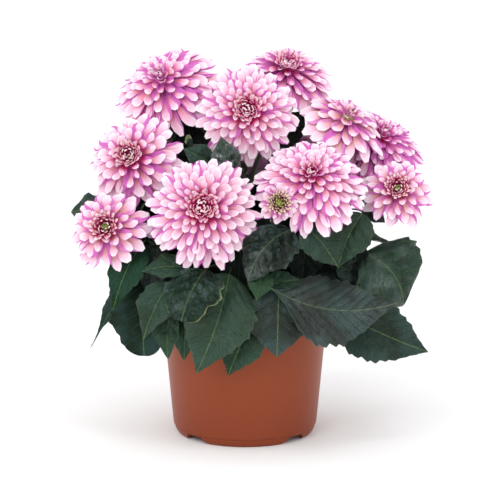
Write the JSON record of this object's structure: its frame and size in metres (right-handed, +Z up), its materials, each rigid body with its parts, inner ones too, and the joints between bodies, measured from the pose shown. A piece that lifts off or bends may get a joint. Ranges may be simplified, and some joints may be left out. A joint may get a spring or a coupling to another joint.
{
  "type": "potted dahlia",
  "caption": "Bushy potted dahlia with large double pink and cream blooms over dark toothed leaves in a round tapered nursery pot.",
  "frame": {"origin": "on the floor, under the middle of the plant's box, which is the pot's axis to within 3 mm", "axes": "+Z up along the pot's axis, -Y towards the plant's best side, +X to that side's right"},
  "size_m": [0.3963, 0.3193, 0.4242],
  "materials": {
    "pot": "moulded terracotta-coloured plastic, satin",
    "soil": "damp peat potting soil, rough",
    "leaf": "dark blue-green leaf with a slight gloss",
    "petal": "soft petal, cream-pink with orchid edges"
  },
  "bodies": {
    "root": {"pot": "pot", "soil": "soil", "leafy_stem_left": "leaf", "leafy_stem_top_left": "leaf", "leafy_stem_front": "leaf", "leafy_stem_centre": "leaf", "leafy_stem_front_right": "leaf", "leafy_stem_right": "leaf", "leafy_stem_right_back": "leaf", "leafy_stem_back": "leaf", "bloom_top_left": "petal", "bloom_top_back": "petal", "bloom_centre_top": "petal", "bloom_left": "petal", "bloom_left_low": "petal", "bloom_front_left": "petal", "bloom_front_right": "petal", "bloom_right_top": "petal", "bloom_right_back": "petal", "bloom_right": "petal", "bloom_half_open": "petal", "bloom_back_left": "petal", "bloom_back_right": "petal", "bloom_back_low": "petal", "bud": "petal"}
  },
  "joints": []
}
